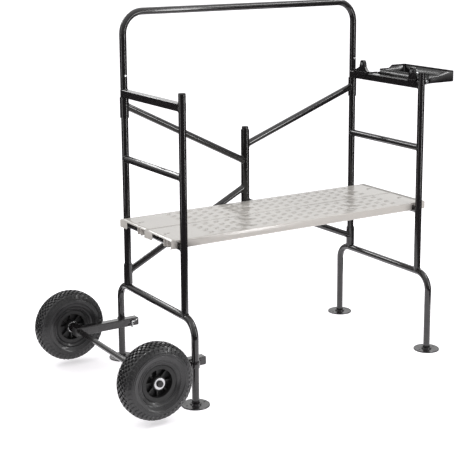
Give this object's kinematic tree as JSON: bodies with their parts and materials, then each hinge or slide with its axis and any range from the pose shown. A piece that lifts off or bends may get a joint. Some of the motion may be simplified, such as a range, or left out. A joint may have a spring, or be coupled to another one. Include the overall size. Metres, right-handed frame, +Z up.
{
  "type": "baker scaffold",
  "caption": "Low baker scaffold: tubular steel end frames on splayed leg bows, hooked deck planks, folding rear gate, guard hoop, tool tray and an axle with pneumatic wheels.",
  "frame": {"origin": "on the floor, under the middle of the whole object's footprint", "axes": "+X from the wheels to the tray along the deck, +Y to the gate and guard hoop, +Z up"},
  "size_m": [1.517, 0.752, 1.3127],
  "materials": {
    "black_paint": "gloss black enamel",
    "deck_enamel": "gloss off-white enamel",
    "zinc_plate": "bright zinc",
    "spring_steel": "plain",
    "black_plastic": "satin",
    "rim_plastic": "satin",
    "tire_rubber": "rubber"
  },
  "bodies": {
    "scaffold_frame": {"arm_plugs": "black_plastic", "axle": "black_paint", "axle_caps": "black_plastic", "axle_spacers": "black_paint", "bracket_bolts": "zinc_plate", "clamp_bolts": "black_paint", "front_tray_bracket": "black_paint", "front_wheel_arm": "black_paint", "gate_hinge_tube": "black_paint", "guard_hoop": "black_paint", "hoop_spigots": "spring_steel", "left_button_spring": "spring_steel", "left_deck_rung": "black_paint", "left_front_foot": "black_paint", "left_front_post": "black_paint", "left_gate_knuckle": "black_paint", "left_gate_lower_brace": "black_paint", "left_gate_sleeves": "black_paint", "left_gate_upper_brace": "black_paint", "left_leg_bow": "black_paint", "left_middle_rung": "black_paint", "left_rear_foot": "black_paint", "left_rear_post": "black_paint", "left_top_rung": "black_paint", "leg_clamp_straps": "black_paint", "rear_tray_bracket": "black_paint", "rear_wheel_arm": "black_paint", "right_button_spring": "spring_steel", "right_deck_rung": "black_paint", "right_front_foot": "black_paint", "right_front_post": "black_paint", "right_gate_knuckles": "black_paint", "right_gate_lower_brace": "black_paint", "right_gate_sleeves": "black_paint", "right_gate_upper_brace": "black_paint", "right_leg_bow": "black_paint", "right_middle_rung": "black_paint", "right_rear_foot": "black_paint", "right_rear_post": "black_paint", "right_top_rung": "black_paint", "tray_pivot_bolts": "zinc_plate", "tube_caps": "black_plastic"},
    "front_wheel": {"front_tire": "tire_rubber", "front_rim": "rim_plastic", "front_wheel_bearings": "zinc_plate"},
    "rear_wheel": {"rear_tire": "tire_rubber", "rear_rim": "rim_plastic", "rear_wheel_bearings": "zinc_plate"},
    "left_button": {"left_snap_button": "zinc_plate"},
    "right_button": {"right_snap_button": "zinc_plate"},
    "front_deck": {"front_plank": "deck_enamel", "front_plank_hooks": "deck_enamel", "front_plank_stiffener": "deck_enamel"},
    "rear_deck": {"rear_plank": "deck_enamel", "rear_plank_hooks": "deck_enamel", "rear_plank_stiffener": "deck_enamel"},
    "tool_tray": {"tray": "black_paint"},
    "front_clamp_nut": {"front_clamp_wing_nut": "zinc_plate"},
    "rear_clamp_nut": {"rear_clamp_wing_nut": "zinc_plate"},
    "bracket_nut": {"bracket_wing_nut": "zinc_plate"}
  },
  "joints": [
    {"name": "front_wheel_spin", "type": "hinge", "parent": "scaffold_frame", "child": "front_wheel", "pos_m": [-0.6285, -0.335, 0.146], "axis": [0, 1, 0], "continuous": true},
    {"name": "rear_wheel_spin", "type": "hinge", "parent": "scaffold_frame", "child": "rear_wheel", "pos_m": [-0.6285, 0.335, 0.146], "axis": [0, 1, 0], "continuous": true},
    {"name": "left_button_press", "type": "slide", "parent": "scaffold_frame", "child": "left_button", "axis": [0, 1, 0], "range_m": [0, 0.0052], "stiffness_N_per_m": 600, "springref_m": -0.005, "deforming": ["left_button_spring"]},
    {"name": "right_button_press", "type": "slide", "parent": "scaffold_frame", "child": "right_button", "axis": [0, 1, 0], "range_m": [0, 0.0052], "stiffness_N_per_m": 600, "springref_m": -0.005, "deforming": ["right_button_spring"]},
    {"name": "front_plank_lift", "type": "slide", "parent": "scaffold_frame", "child": "front_deck", "axis": [0, 0, 1], "range_m": [0, 0.15]},
    {"name": "rear_plank_lift", "type": "slide", "parent": "scaffold_frame", "child": "rear_deck", "axis": [0, 0, 1], "range_m": [0, 0.15]},
    {"name": "tray_fold", "type": "hinge", "parent": "scaffold_frame", "child": "tool_tray", "pos_m": [0.6175, -0.0435, 1.0185], "axis": [0, 1, 0], "range_deg": [0, 90]},
    {"name": "front_clamp_nut_turn", "type": "hinge", "parent": "scaffold_frame", "child": "front_clamp_nut", "pos_m": [-0.4175, -0.2213, 0.146], "axis": [0, 1, 0], "continuous": true},
    {"name": "rear_clamp_nut_turn", "type": "hinge", "parent": "scaffold_frame", "child": "rear_clamp_nut", "pos_m": [-0.4175, 0.2213, 0.146], "axis": [0, -1, 0], "continuous": true},
    {"name": "bracket_nut_turn", "type": "hinge", "parent": "scaffold_frame", "child": "bracket_nut", "pos_m": [0.5832, -0.169, 1.06], "axis": [1, 0, 0], "continuous": true}
  ]
}
